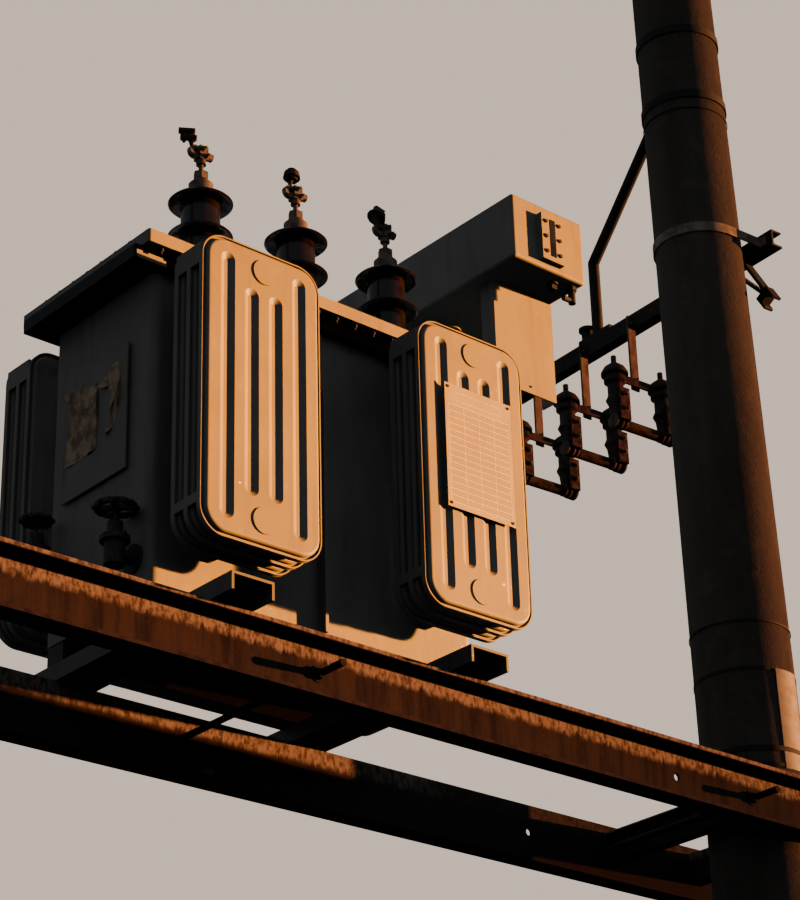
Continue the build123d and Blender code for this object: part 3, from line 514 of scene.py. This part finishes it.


# Cover shade strip: a thin near-black strip over the front of the collar, below the cover,
# that is painted shade. It is narrower at the left corner, where the foot of the collar stays
# bare.
rim_points = [vert.co for vert in node["tank"].data.vertices if vert.co.z > 4.51]
rim_left, rim_right = (pick(point.x for point in rim_points) for pick in (min, max))
rim_front = min(point.y for point in rim_points)
shade_sheet = Finish("painted_shade_sheet", roughness=0.95)
# Painted shade: near-black colour for the strip that darkens the collar's front.
shade_sheet.set("Base Color", shade_sheet.mix(shade_sheet.noise(50), (0.006, 0.006, 0.006),
                                    (0.014, 0.012, 0.011)))
shade_thickness, shade_high, shade_low_left, shade_low_right = 0.0012, 4.5358, 4.5235, 4.5015
shade_strips = bmesh.new()
for strip_left, strip_right, strip_low in ((rim_left, collar_break, shade_low_left),
                                           (collar_break, rim_right, shade_low_right)):
    block(shade_strips, ((strip_left + strip_right) / 2, rim_front - shade_thickness / 2,
                    (shade_high + strip_low) / 2),
          (strip_right - strip_left, shade_thickness, shade_high - strip_low))
finish_piece(shade_strips, "cover_shade_strip", shade_sheet, lit=None)


# Oil gauge: a housing on the conservator's front end, in grey enamel, whose frame six
# nuts clamp over a strip of dark level glass. The small bolt at the foot of the front
# post is made with its nuts.
gauge_low, gauge_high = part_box("oil_gauge")
gauge_middle = (gauge_low.x + gauge_high.x) / 2
gauge_nut_spread, glass_middle, foot_bolt = 0.0225, 4.890, (-0.825, 4.546)
gauge_bolts = bmesh.new()
for side in (-1, 1):
    for nut_z in (4.847, 4.890, 4.933):
        bolt(gauge_bolts, (gauge_middle + side * gauge_nut_spread, gauge_low.y, nut_z),
             to_front, 0.0115, 0.0036)
bolt(gauge_bolts, (foot_bolt[0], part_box("front_post")[0].y, foot_bolt[1]), to_front,
     0.0060, 0.0020, sides=16)
finish_piece(gauge_bolts, "gauge_nuts", bolt_and_shade_iron)

oil_line, oil_edge = 4.876, 4.879
level_glass = Finish("level_glass", roughness=0.08, coat=1.0)
above_oil = level_glass.ramp(level_glass.axis("Z"), oil_line, oil_edge)
level_glass.set("Base Color", level_glass.mix(above_oil, (0.006, 0.004, 0.002),
                                              (0.013, 0.013, 0.012)))
level_glass.set("Roughness", 0.06 + 0.12 * level_glass.noise(40))
pane = bmesh.new()
block(pane, (gauge_middle, gauge_low.y + 0.0006, glass_middle), (0.0190, 0.0032, 0.1060),
      0.0006)
finish_piece(pane, "gauge_glass", level_glass, lit=sunlit)


# Torn sheet: what is left of a thin brass-coloured sheet on the end plate, two remnants
# with ragged edges and curled corners, blank and tarnished.
torn = Finish("torn_sheet", roughness=0.6, metallic=0.1)
tarnished = torn.noise(30, 7, (1, 1, 1), 0.65)
torn.set("Base Color", torn.mix(torn.ramp(tarnished, 0.38, 0.62), (0.62, 0.46, 0.31),
                                (0.24, 0.165, 0.105)))
torn.set("Roughness", 0.5 + 0.3 * tarnished)
torn.bump(tarnished, 0.4, 0.0012)
left_outline = ((0.346, 4.321), (0.322, 4.319), (0.298, 4.311), (0.282, 4.320),
                (0.250, 4.304), (0.222, 4.305), (0.216, 4.257), (0.217, 4.197),
                (0.218, 4.138), (0.241, 4.135), (0.256, 4.134), (0.295, 4.132),
                (0.335, 4.132), (0.326, 4.181), (0.309, 4.235), (0.324, 4.281))
right_outline = ((0.210, 4.284), (0.206, 4.301), (0.184, 4.309), (0.164, 4.313),
                 (0.142, 4.326), (0.133, 4.292), (0.134, 4.235), (0.140, 4.201),
                 (0.154, 4.169), (0.180, 4.150), (0.184, 4.162), (0.166, 4.187),
                 (0.152, 4.210), (0.146, 4.243), (0.163, 4.272), (0.190, 4.273))
plate_face, sheet_thickness, sheet_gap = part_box("end_plate")[0].x, 0.0010, 0.0006
remnants = bmesh.new()
for outline, curl in ((left_outline, 0.006), (right_outline, 0.010)):
    corners = [remnants.verts.new((plate_face - sheet_gap, y, z)) for y, z in outline]
    sheet_face = remnants.faces.new(corners)
    split = bmesh.ops.triangulate(remnants, faces=[sheet_face])
    for corner in corners[::3]:
        corner.co.x -= curl
    bmesh.ops.subdivide_edges(remnants, edges=list({e for f in split["faces"] for e in f.edges}),
                              cuts=2, smooth=0.25)
bmesh.ops.recalc_face_normals(remnants, faces=remnants.faces)
bmesh.ops.solidify(remnants, geom=remnants.faces, thickness=sheet_thickness)
finish_piece(remnants, "torn_sheet", torn, lit=sunlit)


# Rating plate: a pale sheet held by four small screws in front of the right radiator.
# Its etched table is ruled but left empty, and so is the title frame above the table.
plate = Finish("etched_sheet", roughness=0.45, metallic=0.15)
wipe = plate.noise(16, 6, (1, 1, 0.5))
plate_x, plate_z = plate.axis("X"), plate.axis("Z")
column_start, column_pitch, row_start, row_pitch = -1.2430, 0.0231, 4.0575, 0.00825
line_full, line_edge = 0.0004, 0.0011


def field(left, right, low, high):
    """A mask of the plate's face: 1 inside this upright rectangle and 0 outside it."""
    return plate_x.over(left) * (1.0 - plate_x.over(right)) * plate_z.over(low) * (
        1.0 - plate_z.over(high))


column = (plate_x - column_start).folded(column_pitch)
row = (plate_z - row_start).folded(row_pitch)
ruled = (1.0 - plate.ramp(column, line_full, line_edge)).most(
    1.0 - plate.ramp(row, line_full, line_edge))
table = field(-1.2436, -1.0576, 4.0569, 4.3056)
title_frame = (field(-1.2200, -1.0800, 4.3180, 4.3400)
               - field(-1.2188, -1.0812, 4.3192, 4.3388))
etched = (ruled * table).most(title_frame)
tarnished_plate = plate.mix(plate.ramp(wipe, 0.3, 0.7), (0.44, 0.43, 0.38), (0.34, 0.32, 0.27))
fields = plate.mix(table * (1.0 - ruled) * 0.30, tarnished_plate, (0.24, 0.21, 0.16))
plate.set("Base Color", plate.mix(etched * 0.85, fields, (0.60, 0.58, 0.52)))
plate.set("Roughness", 0.35 + 0.3 * wipe)
plate.bump(plate.noise(90, 4) * 0.5 + etched * 2.0, 0.35, 0.0006)
dress(plate, "rating_plate_holder", lit=sunlit)

rating_low, rating_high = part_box("rating_plate_holder")
screw_inset, screw_width, screw_height = 0.0095, 0.0075, 0.0018
screws = bmesh.new()
for screw_x in (rating_low.x + screw_inset, rating_high.x - screw_inset):
    for screw_z in (rating_low.z + screw_inset, rating_high.z - screw_inset):
        bolt(screws, (screw_x, rating_low.y, screw_z), to_front, screw_width, screw_height,
             sides=16)
finish_piece(screws, "rating_plate_screws", bolt_and_shade_iron)


# Bushings and fuse insulators: turned porcelain sheds under a dark brown glaze, glossy on
# the transformer's cover and dulled by grime below the crossarm.
glaze = Finish("brown_glaze", roughness=0.18, coat=0.6)
depth = glaze.noise(25, 4)
glaze.set("Base Color", glaze.mix(glaze.ramp(depth, 0.3, 0.7), (0.010, 0.0045, 0.0035),
                                  (0.022, 0.009, 0.006)))
glaze.set("Roughness", 0.12 + 0.25 * depth)
dress(glaze, "hv_bushing_left", "hv_bushing_middle", "hv_bushing_right", "lv_bushings")

dulled = Finish("dulled_glaze", roughness=0.5)
grime = dulled.noise(45, 7, (1, 1, 1), 0.65)
dulled.set("Base Color", dulled.mix(dulled.ramp(grime, 0.35, 0.65), (0.013, 0.009, 0.0075),
                                    (0.055, 0.033, 0.024)))
dulled.set("Roughness", 0.45 + 0.3 * grime)
dulled.bump(grime, 0.3, 0.0008)
dress(dulled, "fuse_base_1", "fuse_base_2", "fuse_base_3", lit=steelwork)


# Terminals: brass and copper posts on the high-voltage bushings, browned by the weather.
# Each has two clamp bolts at its head and a round plate at its foot.
brass = Finish("browned_brass", roughness=0.45, metallic=0.4)
tarnish = brass.noise(60, 5)
brass.set("Base Color", brass.mix(brass.ramp(tarnish, 0.35, 0.7), (0.26, 0.20, 0.15),
                                  (0.11, 0.085, 0.070)))
brass.set("Roughness", 0.35 + 0.4 * tarnish)
dress(brass, "hv_terminal_left", "hv_terminal_middle", "hv_terminal_right")
post_offset, clamp_depth, foot_plate_z = 0.003, 0.016, 4.836
clamp_bolts = bmesh.new()
for name in ("hv_terminal_left", "hv_terminal_middle", "hv_terminal_right"):
    foot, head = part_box(name)
    post_x, post_y = (foot.x + head.x) / 2 + post_offset, (foot.y + head.y) / 2
    for bolt_shift, bolt_z in ((-0.004, 4.918), (0.005, 4.901)):
        bolt(clamp_bolts, (post_x + bolt_shift, foot.y + clamp_depth, bolt_z), to_front,
             0.011, 0.006, stud=0.006, washer=0.014)
    bmesh.ops.create_cone(clamp_bolts, cap_ends=True, segments=28, radius1=0.0205,
                          radius2=0.0190, depth=0.004,
                          matrix=Matrix.Translation((post_x, post_y, foot_plate_z)))
finish_piece(clamp_bolts, "terminal_hardware", brass)


# Terminal fittings: what is left in the eyes of the three terminals, a grooved clamp with
# its nuts, a taped joint and a flared cap, all black with soot.
fitting_black = Finish("blackened_fitting", roughness=0.55, metallic=0.2)
soot = fitting_black.noise(80, 5)
fitting_black.set("Base Color", fitting_black.mix(soot, (0.020, 0.016, 0.014),
                                                  (0.075, 0.052, 0.038)))
fitting_black.set("Roughness", 0.45 + 0.3 * soot)
fitting_black.bump(soot, 0.3, 0.0006)


def stub(mesh, start, end, first, second, count=20):
    """A round bar between two points, its radius going from first to second."""
    start, end = Vector(start), Vector(end)
    turn = (end - start).to_track_quat("Z", "Y").to_matrix().to_4x4()
    bmesh.ops.create_cone(mesh, cap_ends=True, segments=count, radius1=first, radius2=second,
                          depth=(end - start).length,
                          matrix=Matrix.Translation((start + end) / 2) @ turn)


left_eye, middle_eye, right_eye, eye_y = -1.769, -1.487, -1.205, 0.086
stem_foot, stem_top, under_clamp = 4.913, 4.950, (0, -0.5, -1)
fittings = bmesh.new()
stub(fittings, (left_eye, eye_y, stem_foot), (-1.788, eye_y, stem_top), 0.0055, 0.0050)
for lump_z, lump_x in ((4.943, -1.786), (4.960, -1.791)):
    stub(fittings, (lump_x - 0.0145, 0.0985, lump_z + 0.002),
         (lump_x + 0.0145, 0.0735, lump_z - 0.002), 0.0078, 0.0078)
    for nut_shift, nut_y in ((-0.009, 0.0940), (0.009, 0.0785)):
        bolt(fittings, (lump_x + nut_shift, nut_y, lump_z - 0.006), under_clamp, 0.0095, 0.0060)
stub(fittings, (middle_eye, eye_y, stem_foot), (-1.479, eye_y, 4.962), 0.0055, 0.0055)
for tape_z, tape_wide in ((4.950, 0.0150), (4.957, 0.0215), (4.965, 0.0200), (4.972, 0.0135)):
    stub(fittings, (-1.4785, eye_y, tape_z - 0.004), (-1.4775, eye_y, tape_z + 0.004),
         tape_wide, tape_wide * 0.93, 14)
stub(fittings, (right_eye, eye_y, stem_foot), (-1.212, eye_y, stem_top), 0.0105, 0.0088)
stub(fittings, (-1.212, eye_y, 4.944), (-1.203, eye_y, 4.958), 0.0250, 0.0190, 12)
stub(fittings, (-1.203, eye_y, 4.958), (-1.214, eye_y, 4.977), 0.0190, 0.0050, 12)
finish_piece(fittings, "terminal_fittings", fitting_black)


# Fuse links: a brown fibre tube between two insulators, with three metal rings at each
# end, and two bolts on the clamp above each end.
fibre = Finish("fibre_tube", roughness=0.6)
grain = fibre.noise(75, 6, (0.8, 1, 1), 0.65)
fibre.set("Base Color", fibre.mix(fibre.ramp(grain, 0.35, 0.7), (0.012, 0.009, 0.0075),
                                  (0.070, 0.040, 0.028)))
fibre.set("Roughness", 0.5 + 0.3 * grain)
dress(fibre, "fuse_link_1", "fuse_link_2", "fuse_link_3", lit=steelwork)
along = Vector((1, -0.0594, 0)).normalized()
tube_rise, ring_depth, ring_width = 0.019, 0.0055, 0.005
clamp_reach, clamp_front, clamp_step = 0.089, 0.0345, 0.0008
fuse_metal = bmesh.new()
for number in (1, 2, 3):
    link_low, link_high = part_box(f"fuse_link_{number}")
    middle = (link_low + link_high) / 2
    axis_z = link_low.z + tube_rise
    for side in (-1, 1):
        for reach, wide in ((0.1085, 0.0215), (0.0860, 0.0205), (0.0705, 0.0195)):
            spot = Vector((middle.x, middle.y + ring_depth, axis_z)) + along * side * reach
            bmesh.ops.create_cone(
                fuse_metal, cap_ends=True, segments=28, radius1=wide, radius2=wide,
                depth=ring_width, matrix=Matrix.Translation(spot)
                @ along.to_track_quat("Z", "Y").to_matrix().to_4x4())
        spot = (Vector((middle.x, middle.y - clamp_front, 0))
                + along * side * clamp_reach)
        for lift in (0.030, 0.074):
            bolt(fuse_metal, (spot.x, spot.y + clamp_step * number, axis_z + lift), to_front,
                 0.012, 0.0045, washer=0.016)
finish_piece(fuse_metal, "fuse_hardware", stained, lit=steelwork)


# Drain valves and hand wheels: painted cast iron, almost black with oil and dust. Each
# wheel has eight lobes and a nut on its stem, and four bolts hold its valve's flange.
iron = Finish("oily_iron", roughness=0.6)
film = iron.noise(70, 6)
iron.set("Base Color", iron.mix(iron.ramp(film, 0.4, 0.7), (0.035, 0.035, 0.035),
                                (0.09, 0.085, 0.08)))
iron.set("Roughness", 0.45 + 0.35 * film)
dress(iron, "front_drain_valve", "back_drain_valve", "front_hand_wheel", "back_hand_wheel",
      "conservator_drain", "conservator_plug")
lobe_count, lobe_start, lobe_share = 8, 0.2, 0.44
lobe_size = (0.0105, 0.0105, 0.0072)
flange_rise, flange_circle = 0.074, 0.0215
wheel_lobes = bmesh.new()
for name in ("front_hand_wheel", "back_hand_wheel"):
    wheel_low, wheel_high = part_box(name)
    hub = (wheel_low + wheel_high) / 2
    for lobe in range(lobe_count):
        angle = lobe * tau / lobe_count + lobe_start
        spot = hub + Vector((cos(angle), sin(angle), 0)) * (
            wheel_high.x - wheel_low.x) * lobe_share
        bmesh.ops.create_uvsphere(wheel_lobes, u_segments=20, v_segments=12, radius=1,
                                  matrix=Matrix.Translation(spot)
                                  @ Matrix.Diagonal((*lobe_size, 1)))
    bolt(wheel_lobes, (hub.x, hub.y, wheel_high.z), upward, 0.014, 0.008, stud=0.007)
    valve_low, valve_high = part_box(name.replace("hand_wheel", "drain_valve"))
    for turn_angle in (0.6, 2.2, 3.8, 5.4):
        spot = Vector((hub.x, hub.y, valve_low.z + flange_rise)) + flange_circle * Vector(
            (cos(turn_angle), sin(turn_angle), 0))
        bolt(wheel_lobes, spot, upward, 0.0095, 0.006, stud=0.005)
finish_piece(wheel_lobes, "valve_hardware", iron)


# Number plate: a pale sheet, left bare, that two thin black straps hold against the right
# pole just above the beams.
sheet = Finish("pale_sheet", roughness=0.5, metallic=0.3)
dust = sheet.noise(35, 5)
sheet.set("Base Color", sheet.mix(sheet.ramp(dust, 0.3, 0.7), (0.29, 0.265, 0.235),
                                  (0.20, 0.175, 0.15)))
sheet.set("Roughness", 0.4 + 0.3 * dust)
dress(sheet, "number_plate")
strap_width, strap_thickness = 0.010, 0.0008
plate_straps = bmesh.new()
for strap_height in (3.941, 3.690):
    pole_hoop(plate_straps, strap_height, strap_width, strap_thickness)
finish_piece(plate_straps, "plate_straps", tie_wire)
